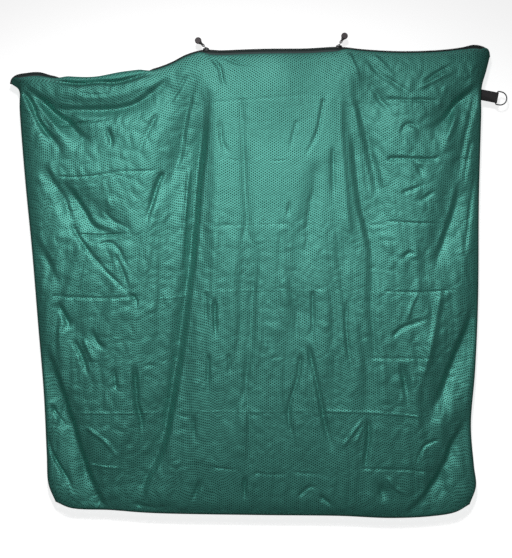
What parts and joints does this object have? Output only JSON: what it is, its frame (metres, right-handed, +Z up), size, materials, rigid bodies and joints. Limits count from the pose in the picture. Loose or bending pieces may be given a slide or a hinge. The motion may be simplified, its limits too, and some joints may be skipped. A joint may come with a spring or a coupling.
{
  "type": "hung carp sack with a zipped top",
  "caption": "Large soft net sack for keeping fish, hung by its zipped top edge in loose folds, with zip pulls and a webbing side tab that holds a D-ring.",
  "frame": {"origin": "on the zip line along the top edge, midway between the two sliders, in the plane of the side seams", "axes": "+Z up, +X to the right of someone facing the front panel, the front panel towards -Y"},
  "size_m": [1.1838, 0.063, 1.1546],
  "materials": {
    "net": "satin perforated nylon",
    "zip": "matte woven tape and coil",
    "slider": "satin black",
    "wire": "nickel plated",
    "pull": "matte moulded",
    "webbing": "matte woven"
  },
  "bodies": {
    "root": {"front_panel": "net", "back_panel": "net", "zip_front_left": "zip", "zip_front_open": "zip", "zip_front_right": "zip", "zip_back_left": "zip", "zip_back_open": "zip", "zip_back_right": "zip", "slider_left": "slider", "slider_right": "slider", "pull_link_left": "wire", "pull_link_right": "wire", "pull_left": "pull", "pull_right": "pull", "side_tab": "webbing", "d_ring": "wire"}
  },
  "joints": []
}
